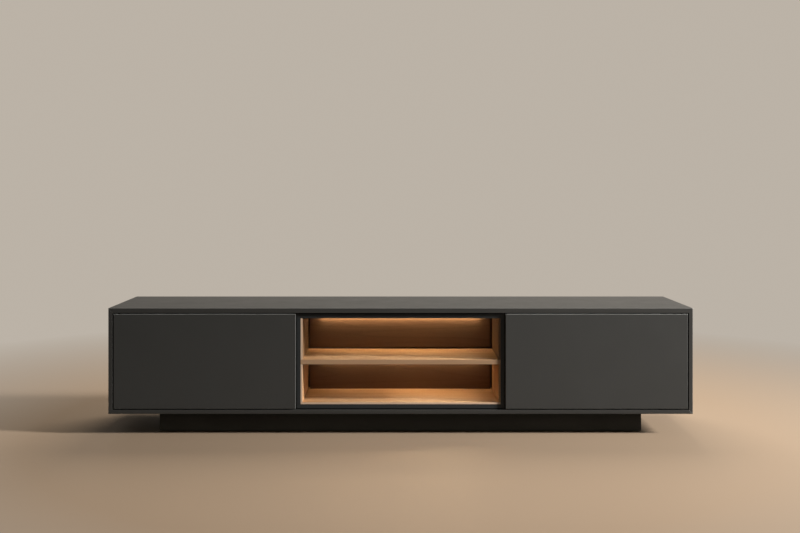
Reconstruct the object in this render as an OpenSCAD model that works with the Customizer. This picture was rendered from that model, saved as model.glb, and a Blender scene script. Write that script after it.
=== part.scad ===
// Long low TV cabinet: mitred outer frame, two handle-less doors, an oak-lined
// niche with hidden light in the middle, and a recessed plinth.
// Origin: centre of the footprint on the floor. The front faces -Y, +Z is up.

/* [Cabinet] */
// Width over the side panels
cabinet_w = 2200; // [1900:10:2600]
// Depth from the front edges to the rear edges
cabinet_d = 420; // [400:5:520]
// Height from the floor to the top surface
cabinet_h = 478; // [460:1:560]
// Height of the bottom panel's underside above the floor
base_h = 80; // [60:1:100]

/* [Boards] */
// Thickness of the top panel
top_t = 18; // [15:0.5:22]
// Thickness of the bottom and side panels
board_t = 15; // [15:0.5:22]
// Thickness of the partitions between the cupboards and the niche
partition_t = 16; // [15:0.5:22]
// Thickness of the door panels
door_t = 18; // [16:0.5:20]
// Thickness of the back boards
back_t = 8; // [6:0.5:10]
// Distance of the back boards' outer face from the rear edges
back_inset = 2; // [2:0.5:6]
// Width of the rebate that the back boards lie in
rebate_w = 9; // [8:0.5:11]
// Thickness of the cupboard shelves
cupboard_shelf_t = 16; // [12:1:20]
// Chamfer along the visible edges of panels and doors
arris = 1.2; // [0.4:0.1:1.5]

/* [Gaps] */
// Shadow gap round the doors and round the niche box
reveal = 4; // [2.5:0.1:5]
// Clearance of a cupboard shelf at each end
shelf_end_gap = 1; // [0.5:0.1:2]
// Clearance between the back boards where they meet
back_joint_gap = 1; // [0.5:0.1:2]
// Clearance round screws, dowels and pins in their holes
hole_gap = 0.05; // [0.02:0.01:0.2]
// Clearance between a moving piece and the flat stop behind it
stop_gap = 0.3; // [0.1:0.1:0.5]

/* [Niche] */
// Outer width of the niche box
niche_w = 782; // [600:2:900]
// Distance of the niche box's front edges behind the door faces
niche_setback = 8; // [4:1:16]
// Clear depth of the niche, from its front edges to the back panels
niche_depth = 262; // [200:1:290]
// Thickness of the niche box's top board
niche_top_t = 17; // [14:1:20]
// Thickness of the niche box's bottom board
niche_bottom_t = 16; // [12:1:20]
// Thickness of the niche box's left and right boards
niche_cheek_t = 14; // [13:1:18]
// Thickness of the oak lining
lining_t = 7; // [4:0.5:10]
// Thickness of the oak shelf
oak_shelf_t = 18; // [12:1:25]
// Clear height between the oak floor and the oak shelf
lower_bay_h = 143; // [110:1:170]
// Thickness of the niche back panels
niche_back_t = 8; // [6:1:12]
// Shadow gap beside the niche back panels and under the upper one, where cables pass
cable_slot = 7; // [5:0.5:12]
// Width of the battens behind the niche back panels
batten_w = 40; // [25:1:60]
// Thickness of the battens
batten_t = 18; // [12:1:25]
// Clear distance of a batten from the niche box's side board
batten_side_gap = 57; // [30:1:100]

/* [Light] */
// Distance of an LED profile's end from the oak lining
led_side_gap = 50; // [20:1:80]
// Width of an LED profile, front to back
led_w = 16; // [14:1:20]
// Height of an LED profile
led_h = 18; // [14:1:24]
// Wall of an LED profile
led_wall = 1.5; // [1:0.1:2]
// Distance of the upper profile below the niche's top board
led_drop = 4; // [0:1:14]
// Thickness of the diffuser
diffuser_t = 1.5; // [1:0.1:2]
// Thickness of the LED strip
led_strip_t = 1.2; // [0.8:0.1:2]
// Width of the LED strip
led_strip_w = 8; // [5:1:10]
// Distance of the LED strip's ends from the profile's ends
led_strip_end = 5; // [2:1:15]
// Thickness of a profile's end cap
end_cap_t = 1.5; // [1:0.1:3]
// Length of the LED driver
driver_l = 160; // [120:5:200]
// Width of the LED driver
driver_w = 50; // [40:1:60]
// Height of the LED driver
driver_h = 30; // [24:1:40]
// Distance of the LED driver from the left partition
driver_side_gap = 41; // [35:1:80]
// Distance of the LED driver's middle before the middle of the cable space
driver_offset = 8; // [0:1:10]
// Width of the driver's mains inlet
inlet_w = 14; // [10:0.5:20]
// Height of the driver's mains inlet
inlet_h = 9; // [7:0.5:12]
// Depth of the driver's mains inlet
inlet_deep = 12; // [8:1:20]
// Diameter of the low-voltage leads
lead_d = 3; // [2:0.5:4]

/* [Cables] */
// Bore of the cable grommets
grommet_bore = 54; // [40:1:70]
// Wall of a grommet's sleeve
grommet_wall = 3; // [2:0.5:4]
// Width of a grommet's flange beyond its sleeve
grommet_lip = 5; // [3:1:8]
// Distance of the grommets in the back from the middle of the cabinet
grommet_x = 150; // [60:5:250]
// Height of the cable holes above the bottom panel
grommet_z = 70; // [55:1:90]

/* [Cupboards] */
// Height of the cupboard shelf's underside above the bottom panel
shelf_z = 166; // [140:1:200]
// Distance of the cupboard shelf behind the door's rear face
shelf_front_gap = 27; // [20:1:60]
// Distance of the cupboard shelf before the back board
shelf_rear_gap = 2; // [1:1:20]
// Diameter of the shelf pins
pin_d = 5; // [4:0.5:6]
// Depth of a shelf pin in its board
pin_in = 9; // [6:0.5:11]
// Length of a shelf pin under the shelf
pin_out = 9; // [6:0.5:12]
// Step between the shelf pin holes
pin_step = 32; // [25:1:40]
// Distance of the pin rows from the shelf's front and rear edges
pin_edge = 40; // [30:1:60]

/* [Doors] */
// Distance of the pivot axis from the door's outer edge
pivot_edge = 20; // [18:0.5:30]
// Diameter of the pivot pins
pivot_d = 6; // [5:0.5:7]
// Length of a pivot pin in its panel
pivot_in = 10; // [8:0.5:12]
// Length of a pivot pin in the door
pivot_out = 12; // [8:1:20]
// Diameter of a pivot pin's flange
pivot_flange_d = 14; // [11:1:16]
// Wall of the pivot bush
bush_wall = 2; // [1.5:0.1:2.5]
// Length of a bush beyond the pin's end
bush_spare = 2; // [1:0.5:4]
// Running clearance of the pivot pin in its bush
bush_gap = 0.05; // [0.02:0.01:0.09]
// Thickness of the door bumpers
bumper_t = 2; // [1:0.1:4]
// Diameter of the door bumpers
bumper_d = 8; // [5:0.5:10]
// Height of the lower bumpers above the door's lower edge
bumper_low = 40; // [20:5:100]
// Distance of the upper bumpers below the door's upper edge
bumper_high = 90; // [60:5:140]
// Height of the push latch's axis below the top panel
latch_drop = 35; // [25:1:42]
// Length of the latch housing
latch_l = 68; // [50:1:90]
// Width and height of the latch housing
latch_w = 16; // [14:1:20]
// Diameter of the latch plunger
plunger_d = 8; // [6:0.5:10]
// Length of the latch plunger inside its housing
plunger_in = 40; // [25:1:45]
// Travel of the latch plunger when it is pressed
plunger_travel = 3; // [2:0.5:5]
// Running clearance of the plunger in its housing
plunger_gap = 0.3; // [0.3:0.05:0.5]
// Diameter of the strike plate on the door
strike_d = 16; // [12:1:20]
// Thickness of the strike plate
strike_t = 1; // [0.6:0.1:1.4]

/* [Plinth] */
// Distance of the plinth behind the cabinet's front
plinth_front_gap = 60; // [40:1:80]
// Distance of the plinth from the cabinet's rear
plinth_rear_gap = 30; // [20:1:60]
// Distance of the plinth from each end of the cabinet
plinth_end_gap = 180; // [100:5:250]
// Thickness of the plinth boards
plinth_t = 16; // [15:0.5:22]
// Length of a plinth corner block
block_l = 60; // [50:1:80]
// Width of a plinth corner block
block_w = 40; // [30:1:50]
// Height of a floor glide
glide_h = 3; // [2:0.5:5]
// Diameter of a floor glide
glide_d = 24; // [18:1:26]
// Distance of a floor glide from its block's end
glide_edge = 2; // [1:1:6]

/* [Fixings] */
// Diameter of the dowels
dowel_d = 8; // [6:1:9]
// Length of a dowel in the partition
dowel_deep = 18; // [12:1:25]
// Length of a dowel in the top or bottom panel
dowel_shallow = 10; // [8:0.5:12]
// Diameter of the small screws' shanks
screw_d = 3.5; // [3:0.5:4]
// Diameter of the small screws' heads
screw_head_d = 6.8; // [6:0.1:7.2]
// Height of the niche screws' heads
screw_head_t = 2; // [1.5:0.1:3]
// Distance of the end screws from a back board's ends
back_screw_end = 30; // [15:1:60]
// Distance of the niche screws behind the niche's front edges
niche_screw_front = 100; // [60:5:140]
// Distance of the niche screws before the niche back panels
niche_screw_rear = 20; // [10:1:60]
// Distance of the niche screws above and below the box's boards
niche_screw_end = 35; // [20:1:60]
// Distance of the front dowels behind the cabinet's front
dowel_front = 90; // [50:5:150]
// Distance of the rear dowels behind the niche box
dowel_rear = 64; // [30:1:80]
// Length of the screws in the back boards
back_screw_l = 25; // [20:1:35]
// Length of the screws between a partition and the niche box
niche_screw_l = 26; // [24:1:27]
// Diameter of the plinth screws
plinth_screw_d = 5; // [4:0.5:6]
// Length of the plinth screws
plinth_screw_l = 52; // [48:1:55]
// Diameter of the plinth screws' heads
plinth_head_d = 9; // [8:0.5:12]
// Height of the plinth screws' heads
plinth_head_t = 3; // [2:0.5:4]
// Wood left above the plinth screws' tips
plinth_screw_skin = 4; // [3:0.5:8]

/* [Hidden] */

$fn = 48;
graphite = [0.2, 0.2, 0.2];
niche_black = [0.13, 0.14, 0.15];
oak = [0.72, 0.52, 0.34];
smoked_oak = [0.36, 0.22, 0.12];
raw_board = [0.16, 0.16, 0.16];
steel = [0.62, 0.63, 0.65];
alu = [0.78, 0.79, 0.8];
black_plastic = [0.08, 0.08, 0.08];
opal = [1, 0.9, 0.75];
beech = [0.8, 0.64, 0.45];

// The cut that opens a hole runs past its face by this much
past = 1;

// Carcass planes
half_w = cabinet_w / 2;
front_y = -cabinet_d / 2;
rear_y = cabinet_d / 2;
floor_z = base_h + board_t;
ceiling_z = cabinet_h - top_t;
wall_x = half_w - board_t;
back_y1 = rear_y - back_inset;
back_y0 = back_y1 - back_t;

// Niche box planes
niche_x = niche_w / 2;
niche_front = front_y + niche_setback;
niche_z0 = floor_z + reveal;
niche_z1 = ceiling_z - reveal;
cheek_x = niche_x - niche_cheek_t;
bay_x = cheek_x - lining_t;
deck_z0 = niche_z0 + niche_bottom_t;
deck_z1 = niche_z1 - niche_top_t;
oak_floor_z = deck_z0 + lining_t;
oak_shelf_z0 = oak_floor_z + lower_bay_h;
oak_shelf_z1 = oak_shelf_z0 + oak_shelf_t;
niche_back_y0 = niche_front + niche_depth;
niche_back_y1 = niche_back_y0 + niche_back_t;
niche_rear = niche_back_y1 + batten_t;
niche_back_x = bay_x - cable_slot;
batten_x0 = cheek_x - batten_side_gap - batten_w;
// Middle of the cable space between the niche box and the back boards
cable_mid_y = (niche_rear + back_y0) / 2;

// Partition planes
partition_x0 = niche_x;
partition_x1 = niche_x + partition_t;
partition_mid = niche_x + partition_t / 2;
door_back = front_y + door_t;
partition_front = door_back + bumper_t;

// Door planes
door_x0 = niche_x + reveal;
door_x1 = wall_x - reveal;
door_z0 = floor_z + reveal;
door_z1 = ceiling_z - reveal;
pivot_x = door_x1 - pivot_edge;
pivot_y = front_y + door_t / 2;
bush_d = pivot_d + 2 * (bush_gap + bush_wall);
bush_l = pivot_out + bush_spare;
flange_t = reveal - stop_gap;

// Latch planes
latch_x = partition_x1 + latch_w / 2;
latch_z = ceiling_z - latch_drop;
strike_y = door_back + strike_t;
plunger_front = strike_y + stop_gap;
latch_front = plunger_front + plunger_travel + past;
plunger_rear = latch_front + plunger_in;
bumper_x = (door_x0 + partition_x1) / 2;
bumper_zs = [door_z0 + bumper_low, door_z1 - bumper_high];

// Cupboard shelf planes
shelf_top = floor_z + shelf_z + cupboard_shelf_t;
shelf_front = door_back + shelf_front_gap;
shelf_rear = back_y0 - shelf_rear_gap;
pin_z = floor_z + shelf_z - pin_d / 2;
pin_ys = [shelf_front + pin_edge, shelf_rear - pin_edge];
pin_rows = [-1:1];

// Plinth planes
plinth_x = half_w - plinth_end_gap;
plinth_y0 = front_y + plinth_front_gap;
plinth_y1 = rear_y - plinth_rear_gap;
block_xs = [partition_mid - plinth_t / 2 - block_l, plinth_x - plinth_t - block_l];
block_ys = [plinth_y0 + plinth_t, plinth_y1 - plinth_t - block_w];
plinth_screw_z = floor_z - plinth_screw_skin - plinth_screw_l;

// Light planes
led_x = bay_x - led_side_gap;
led_y0 = niche_back_y0 - led_w;
led_top_z = deck_z1 - led_drop;
led_mid_y = led_y0 + led_w / 2;
driver_x0 = -niche_x + driver_side_gap;
driver_y0 = cable_mid_y - driver_offset - driver_w / 2;
lead_x = -(bay_x - cable_slot / 2);
lead_in_z = floor_z + driver_h * 0.3;
lead_inset = 12;

// Dowels and screws
dowel_ys = [front_y + dowel_front, niche_rear + dowel_rear];
niche_screw_ys = [niche_front + niche_screw_front, niche_back_y0 - niche_screw_rear];
niche_screw_zs = [deck_z0 + niche_screw_end, deck_z1 - niche_screw_end];
rebate_mid = rebate_w / 2;
back_low_z = floor_z - rebate_w;
back_high_z = ceiling_z + rebate_w;
back_out_x = wall_x + rebate_w;

module block(x0, x1, y0, y1, z0, z1)
    translate([x0, y0, z0]) cube([x1 - x0, y1 - y0, z1 - z0]);

module rod_x(d, x0, x1, y, z)
    translate([x0, y, z]) rotate([0, 90, 0]) cylinder(d = d, h = x1 - x0);

module rod_y(d, x, y0, y1, z)
    translate([x, y0, z]) rotate([-90, 0, 0]) cylinder(d = d, h = y1 - y0);

module rod_z(d, x, y, z0, z1)
    translate([x, y, z0]) cylinder(d = d, h = z1 - z0);

module mirror_pair() {
    children();
    mirror([1, 0, 0]) children();
}

// A board lying along X with chamfered front corners, seen from its end
module chamfered_front(x0, x1, y0, y1, z0, z1, c)
    translate([x0, 0, 0]) rotate([90, 0, 90]) linear_extrude(x1 - x0)
        polygon([[y0 + c, z0], [y1, z0], [y1, z1], [y0 + c, z1], [y0, z1 - c], [y0, z0 + c]]);

// Outline of the outer frame in the XZ plane, extruded over the depth
module frame_slice(points)
    translate([0, rear_y, 0]) rotate([90, 0, 0]) linear_extrude(cabinet_d) polygon(points);

// Space that the back boards take out of the outer frame
module back_rebate()
    block(-back_out_x, back_out_x, back_y0, rear_y + past, back_low_z, back_high_z);

// Outer envelope with chamfered long edges: what the frame boards are cut to
module frame_envelope()
    intersection() {
        translate([-half_w, 0, 0]) rotate([90, 0, 90]) linear_extrude(cabinet_w)
            polygon([[front_y + arris, base_h], [rear_y, base_h], [rear_y, cabinet_h],
                [front_y + arris, cabinet_h], [front_y, cabinet_h - arris], [front_y, base_h + arris]]);
        linear_extrude(cabinet_h + past)
            polygon([[-half_w, rear_y], [half_w, rear_y], [half_w, front_y + arris],
                [half_w - arris, front_y], [-half_w + arris, front_y], [-half_w, front_y + arris]]);
    }

module back_screw_at(x, z, gap = 0) {
    rod_y(screw_d + 2 * gap, x, back_y1 - back_screw_l - gap, back_y1, z);
    head_deep = (screw_head_d - screw_d) / 2;
    translate([x, back_y1 - head_deep, z]) rotate([-90, 0, 0])
        cylinder(d1 = screw_d + 2 * gap, d2 = screw_head_d + 2 * gap, h = head_deep);
}

// Screws of the back boards, spread evenly over each board's edges
module side_back_screws(gap = 0) {
    inner_x = partition_mid + back_joint_gap / 2 + rebate_mid;
    outer_x = back_out_x - rebate_mid;
    span = outer_x - inner_x - 2 * back_screw_end;
    for (i = [0:3])
        for (z = [back_low_z + rebate_mid, back_high_z - rebate_mid])
            back_screw_at(inner_x + back_screw_end + i * span / 3, z, gap);
    for (x = [inner_x, outer_x])
        for (share = [0.3, 0.7])
            back_screw_at(x, floor_z + share * (ceiling_z - floor_z), gap);
}

module centre_back_screws(gap = 0) {
    inner_x = partition_mid - back_joint_gap / 2 - rebate_mid;
    for (x = [-inner_x, inner_x])
        for (share = [0.2, 0.8])
            back_screw_at(x, floor_z + share * (ceiling_z - floor_z), gap);
    span = inner_x - back_screw_end;
    for (x = [-span, 0, span])
        for (z = [back_low_z + rebate_mid, back_high_z - rebate_mid])
            back_screw_at(x, z, gap);
}

module all_back_screws(gap = 0) {
    mirror_pair() side_back_screws(gap);
    centre_back_screws(gap);
}

module all_dowels(gap = 0)
    mirror_pair()
        for (y = dowel_ys) {
            rod_z(dowel_d + 2 * gap, partition_mid, y,
                floor_z - dowel_shallow - gap, floor_z + dowel_deep + gap);
            rod_z(dowel_d + 2 * gap, partition_mid, y,
                ceiling_z - dowel_deep - gap, ceiling_z + dowel_shallow + gap);
        }

module pivot_sockets()
    mirror_pair()
        for (z = [floor_z - pivot_in - hole_gap, ceiling_z - past])
            rod_z(pivot_d + 2 * hole_gap, pivot_x, pivot_y, z, z + pivot_in + past + hole_gap);

module plinth_screw_shapes(gap = 0)
    mirror_pair()
        for (x = block_xs)
            for (y = block_ys) {
                rod_z(plinth_screw_d + 2 * gap, x + block_l / 4, y + block_w / 2,
                    plinth_screw_z, plinth_screw_z + plinth_screw_l + gap);
                rod_z(plinth_head_d + 2 * gap, x + block_l / 4, y + block_w / 2,
                    plinth_screw_z - plinth_head_t, plinth_screw_z);
            }

// Rows of shelf pin holes, drilled from x0 to x1
module pin_holes(x0, x1)
    for (y = pin_ys)
        for (row = pin_rows)
            rod_x(pin_d + 2 * hole_gap, x0, x1, y, pin_z + row * pin_step);

module top_panel()
    color(graphite) difference() {
        intersection() {
            frame_slice([[-half_w, cabinet_h], [half_w, cabinet_h],
                [wall_x, ceiling_z], [-wall_x, ceiling_z]]);
            frame_envelope();
        }
        back_rebate();
        all_back_screws(hole_gap);
        all_dowels(hole_gap);
        pivot_sockets();
    }

module bottom_panel()
    color(graphite) difference() {
        intersection() {
            frame_slice([[-half_w, base_h], [half_w, base_h], [wall_x, floor_z], [-wall_x, floor_z]]);
            frame_envelope();
        }
        back_rebate();
        all_back_screws(hole_gap);
        all_dowels(hole_gap);
        pivot_sockets();
        plinth_screw_shapes(hole_gap);
    }

module side_panel()
    color(graphite) difference() {
        intersection() {
            frame_slice([[half_w, base_h], [half_w, cabinet_h], [wall_x, ceiling_z], [wall_x, floor_z]]);
            frame_envelope();
        }
        back_rebate();
        all_back_screws(hole_gap);
        pin_holes(wall_x - past, wall_x + pin_in + hole_gap);
    }

module right_side_panel() side_panel();

module left_side_panel() mirror([1, 0, 0]) side_panel();

module niche_screw_shapes(gap = 0)
    mirror_pair()
        for (y = niche_screw_ys)
            for (z = niche_screw_zs) {
                rod_x(screw_d + 2 * gap, partition_x1 - niche_screw_l - gap, partition_x1, y, z);
                rod_x(screw_head_d + 2 * gap, partition_x1, partition_x1 + screw_head_t, y, z);
            }

module partition()
    color(graphite) difference() {
        block(partition_x0, partition_x1, partition_front, back_y0, floor_z, ceiling_z);
        all_dowels(hole_gap);
        all_back_screws(hole_gap);
        niche_screw_shapes(hole_gap);
        pin_holes(partition_x1 - pin_in - hole_gap, partition_x1 + past);
        rod_x(grommet_bore, partition_x0 - past, partition_x1 + past,
            cable_mid_y, floor_z + grommet_z);
    }

module right_partition() partition();

module left_partition() mirror([1, 0, 0]) partition();

module side_back_board()
    color(raw_board) difference() {
        block(partition_mid + back_joint_gap / 2, back_out_x, back_y0, back_y1, back_low_z, back_high_z);
        side_back_screws(hole_gap);
    }

module right_back_board() side_back_board();

module left_back_board() mirror([1, 0, 0]) side_back_board();

module centre_back_board() {
    edge_x = partition_mid - back_joint_gap / 2;
    color(raw_board) difference() {
        block(-edge_x, edge_x, back_y0, back_y1, back_low_z, back_high_z);
        centre_back_screws(hole_gap);
        for (x = [-grommet_x, grommet_x])
            rod_y(grommet_bore + 2 * (grommet_wall + hole_gap), x, back_y0 - past, back_y1 + past,
                floor_z + grommet_z);
    }
}

module back_screws() color(steel) all_back_screws();

module partition_dowels() color(beech) all_dowels();

module niche_top_board()
    color(niche_black)
        chamfered_front(-niche_x, niche_x, niche_front, niche_rear, deck_z1, niche_z1, arris / 2);

module niche_bottom_board()
    color(niche_black)
        chamfered_front(-niche_x, niche_x, niche_front, niche_rear, niche_z0, deck_z0, arris / 2);

module niche_cheek()
    color(niche_black) difference() {
        block(cheek_x, niche_x, niche_front, niche_rear, deck_z0, deck_z1);
        niche_screw_shapes(hole_gap);
    }

module niche_right_board() niche_cheek();

module niche_left_board() mirror([1, 0, 0]) niche_cheek();

module niche_screws() color(steel) niche_screw_shapes();

module oak_floor()
    color(oak) block(-cheek_x, cheek_x, niche_front, niche_rear, deck_z0, oak_floor_z);

module oak_lining(z0, z1)
    color(oak) block(bay_x, cheek_x, niche_front, niche_back_y0, z0, z1);

module oak_lining_right_lower() oak_lining(oak_floor_z, oak_shelf_z0);

module oak_lining_right_upper() oak_lining(oak_shelf_z1, deck_z1);

module oak_lining_left_lower() mirror([1, 0, 0]) oak_lining(oak_floor_z, oak_shelf_z0);

module oak_lining_left_upper() mirror([1, 0, 0]) oak_lining(oak_shelf_z1, deck_z1);

module oak_shelf()
    color(oak)
        chamfered_front(-cheek_x, cheek_x, niche_front, niche_back_y1,
            oak_shelf_z0, oak_shelf_z1, arris / 2);

module niche_back_lower()
    color(smoked_oak)
        block(-niche_back_x, niche_back_x, niche_back_y0, niche_back_y1,
            oak_floor_z, oak_shelf_z0);

module niche_back_upper()
    color(smoked_oak)
        block(-niche_back_x, niche_back_x, niche_back_y0, niche_back_y1,
            oak_shelf_z1 + cable_slot, deck_z1);

module back_battens()
    color(raw_board)
        mirror_pair()
            block(batten_x0, batten_x0 + batten_w, niche_back_y1, niche_rear, oak_floor_z, deck_z1);

// An upturned channel whose top is at z; the diffuser closes its open lower side
module led_profile(z)
    color(alu) difference() {
        block(-led_x, led_x, led_y0, niche_back_y0, z - led_h, z);
        block(-led_x - past, led_x + past, led_y0 + led_wall, niche_back_y0 - led_wall,
            z - led_h - past, z - led_wall);
    }

module led_strip(z)
    color(opal)
        block(-led_x + led_strip_end, led_x - led_strip_end,
            led_mid_y - led_strip_w / 2, led_mid_y + led_strip_w / 2,
            z - led_wall - led_strip_t, z - led_wall);

module led_diffuser(z)
    color(opal)
        block(-led_x, led_x, led_y0 + led_wall, niche_back_y0 - led_wall,
            z - led_h, z - led_h + diffuser_t);

module led_profile_top() led_profile(led_top_z);

module led_profile_shelf() led_profile(oak_shelf_z0);

module led_strip_top() led_strip(led_top_z);

module led_strip_shelf() led_strip(oak_shelf_z0);

module led_diffuser_top() led_diffuser(led_top_z);

module led_diffuser_shelf() led_diffuser(oak_shelf_z0);

module led_end_caps()
    color(black_plastic)
        for (z = [led_top_z, oak_shelf_z0])
            mirror_pair()
                block(led_x, led_x + end_cap_t, led_y0, niche_back_y0, z - led_h, z);

module led_driver()
    color(black_plastic) difference() {
        block(driver_x0, driver_x0 + driver_l, driver_y0, driver_y0 + driver_w,
            floor_z, floor_z + driver_h);
        block(driver_x0 + driver_l - inlet_deep, driver_x0 + driver_l + past,
            driver_y0 + (driver_w - inlet_w) / 2, driver_y0 + (driver_w + inlet_w) / 2,
            floor_z + (driver_h - inlet_h) / 2, floor_z + (driver_h + inlet_h) / 2);
    }

// One lead: out of the end cap, back through the side slot, down, and into the driver
module led_lead(z_from, y_down, z_in) {
    x_from = -led_x - end_cap_t;
    rod_x(lead_d, lead_x, x_from, led_mid_y, z_from);
    translate([lead_x, led_mid_y, z_from]) sphere(d = lead_d);
    rod_y(lead_d, lead_x, led_mid_y, y_down, z_from);
    translate([lead_x, y_down, z_from]) sphere(d = lead_d);
    rod_z(lead_d, lead_x, y_down, z_in, z_from);
    translate([lead_x, y_down, z_in]) sphere(d = lead_d);
    rod_x(lead_d, lead_x, driver_x0, y_down, z_in);
}

module led_leads()
    color(black_plastic) {
        led_lead(led_top_z - led_h / 2, driver_y0 + driver_w - lead_inset, lead_in_z);
        led_lead(oak_shelf_z0 - led_h / 2, driver_y0 + lead_inset, lead_in_z);
    }

module cable_grommets()
    color(black_plastic)
        for (x = [-grommet_x, grommet_x])
            difference() {
                union() {
                    rod_y(grommet_bore + 2 * grommet_wall, x, back_y0, back_y1, floor_z + grommet_z);
                    rod_y(grommet_bore + 2 * (grommet_wall + grommet_lip), x, back_y1,
                        back_y1 + back_inset, floor_z + grommet_z);
                }
                rod_y(grommet_bore, x, back_y0 - past, rear_y + past, floor_z + grommet_z);
            }

module cupboard_shelf()
    color(raw_board)
        chamfered_front(partition_x1 + shelf_end_gap, wall_x - shelf_end_gap,
            shelf_front, shelf_rear, floor_z + shelf_z, shelf_top, arris / 2);

module right_cupboard_shelf() cupboard_shelf();

module left_cupboard_shelf() mirror([1, 0, 0]) cupboard_shelf();

module shelf_pins()
    color(steel)
        mirror_pair()
            for (y = pin_ys) {
                rod_x(pin_d, partition_x1 - pin_in, partition_x1 + pin_out, y, pin_z);
                rod_x(pin_d, wall_x - pin_out, wall_x + pin_in, y, pin_z);
            }

// The flange lies on the panel, the pin reaches into the panel and into the door
module pivot_pins()
    color(steel) {
        rod_z(pivot_d, pivot_x, pivot_y, floor_z - pivot_in, door_z0 + pivot_out);
        rod_z(pivot_flange_d, pivot_x, pivot_y, floor_z, floor_z + flange_t);
        rod_z(pivot_d, pivot_x, pivot_y, door_z1 - pivot_out, ceiling_z + pivot_in);
        rod_z(pivot_flange_d, pivot_x, pivot_y, ceiling_z - flange_t, ceiling_z);
    }

module right_pivot_pins() pivot_pins();

module left_pivot_pins() mirror([1, 0, 0]) pivot_pins();

module latch_housing()
    color(black_plastic) difference() {
        block(partition_x1, partition_x1 + latch_w, latch_front, latch_front + latch_l,
            latch_z - latch_w / 2, latch_z + latch_w / 2);
        rod_y(plunger_d + 2 * plunger_gap, latch_x, latch_front - past,
            plunger_rear + plunger_travel + past, latch_z);
    }

module right_latch_housing() latch_housing();

module left_latch_housing() mirror([1, 0, 0]) latch_housing();

module latch_plunger()
    color(steel) rod_y(plunger_d, latch_x, plunger_front, plunger_rear, latch_z);

module right_latch_plunger() latch_plunger();

module left_latch_plunger() mirror([1, 0, 0]) latch_plunger();

module door_bumpers()
    color(black_plastic)
        mirror_pair()
            for (z = bumper_zs)
                rod_y(bumper_d, bumper_x, door_back + stop_gap, partition_front, z);

module plinth_front()
    color(niche_black)
        block(-plinth_x, plinth_x, plinth_y0, plinth_y0 + plinth_t, glide_h, base_h);

module plinth_back()
    color(niche_black)
        block(-plinth_x, plinth_x, plinth_y1 - plinth_t, plinth_y1, glide_h, base_h);

module plinth_end()
    color(niche_black)
        block(plinth_x - plinth_t, plinth_x, plinth_y0 + plinth_t, plinth_y1 - plinth_t, glide_h, base_h);

module plinth_right() plinth_end();

module plinth_left() mirror([1, 0, 0]) plinth_end();

module plinth_braces()
    color(niche_black)
        mirror_pair()
            block(partition_mid - plinth_t / 2, partition_mid + plinth_t / 2,
                plinth_y0 + plinth_t, plinth_y1 - plinth_t, glide_h, base_h);

module plinth_blocks()
    color(beech) difference() {
        mirror_pair()
            for (x = block_xs)
                for (y = block_ys)
                    block(x, x + block_l, y, y + block_w, glide_h, base_h);
        plinth_screw_shapes(hole_gap);
        mirror_pair()
            for (x = block_xs)
                for (y = block_ys)
                    rod_z(plinth_head_d + 2 * hole_gap, x + block_l / 4, y + block_w / 2,
                        glide_h - past, plinth_screw_z);
    }

module plinth_screws() color(steel) plinth_screw_shapes();

module floor_glides()
    color(black_plastic)
        mirror_pair()
            for (x = block_xs)
                for (y = block_ys)
                    rod_z(glide_d, x + block_l - glide_edge - glide_d / 2, y + block_w / 2, 0, glide_h);

// A door in its closed place, with chamfered front edges on all four sides
module door_panel()
    color(graphite) difference() {
        intersection() {
            translate([door_x0, 0, 0]) rotate([90, 0, 90]) linear_extrude(door_x1 - door_x0)
                polygon([[front_y + arris, door_z0], [door_back, door_z0], [door_back, door_z1],
                    [front_y + arris, door_z1], [front_y, door_z1 - arris], [front_y, door_z0 + arris]]);
            linear_extrude(cabinet_h)
                polygon([[door_x0, door_back], [door_x1, door_back], [door_x1, front_y + arris],
                    [door_x1 - arris, front_y], [door_x0 + arris, front_y], [door_x0, front_y + arris]]);
        }
        rod_z(bush_d + 2 * hole_gap, pivot_x, pivot_y, door_z0 - past, door_z0 + bush_l);
        rod_z(bush_d + 2 * hole_gap, pivot_x, pivot_y, door_z1 - bush_l, door_z1 + past);
    }

module right_door_panel() door_panel();

module left_door_panel() mirror([1, 0, 0]) door_panel();

module door_bushes()
    color(black_plastic)
        for (z = [door_z0, door_z1 - bush_l])
            difference() {
                rod_z(bush_d, pivot_x, pivot_y, z, z + bush_l);
                rod_z(pivot_d + 2 * bush_gap, pivot_x, pivot_y, z - past, z + bush_l + past);
            }

module right_door_bushes() door_bushes();

module left_door_bushes() mirror([1, 0, 0]) door_bushes();

module strike_plate()
    color(steel) rod_y(strike_d, latch_x, door_back, strike_y, latch_z);

module right_strike_plate() strike_plate();

module left_strike_plate() mirror([1, 0, 0]) strike_plate();

top_panel();
bottom_panel();
left_side_panel();
right_side_panel();
left_partition();
right_partition();
left_back_board();
centre_back_board();
right_back_board();
back_screws();
partition_dowels();
niche_top_board();
niche_bottom_board();
niche_left_board();
niche_right_board();
niche_screws();
oak_floor();
oak_lining_left_lower();
oak_lining_left_upper();
oak_lining_right_lower();
oak_lining_right_upper();
oak_shelf();
niche_back_lower();
niche_back_upper();
back_battens();
led_profile_top();
led_profile_shelf();
led_strip_top();
led_strip_shelf();
led_diffuser_top();
led_diffuser_shelf();
led_end_caps();
led_driver();
led_leads();
cable_grommets();
left_cupboard_shelf();
right_cupboard_shelf();
shelf_pins();
left_pivot_pins();
right_pivot_pins();
left_latch_housing();
right_latch_housing();
door_bumpers();
plinth_front();
plinth_back();
plinth_left();
plinth_right();
plinth_braces();
plinth_blocks();
plinth_screws();
floor_glides();
left_door_panel();
left_door_bushes();
left_strike_plate();
right_door_panel();
right_door_bushes();
right_strike_plate();
left_latch_plunger();
right_latch_plunger();
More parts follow.
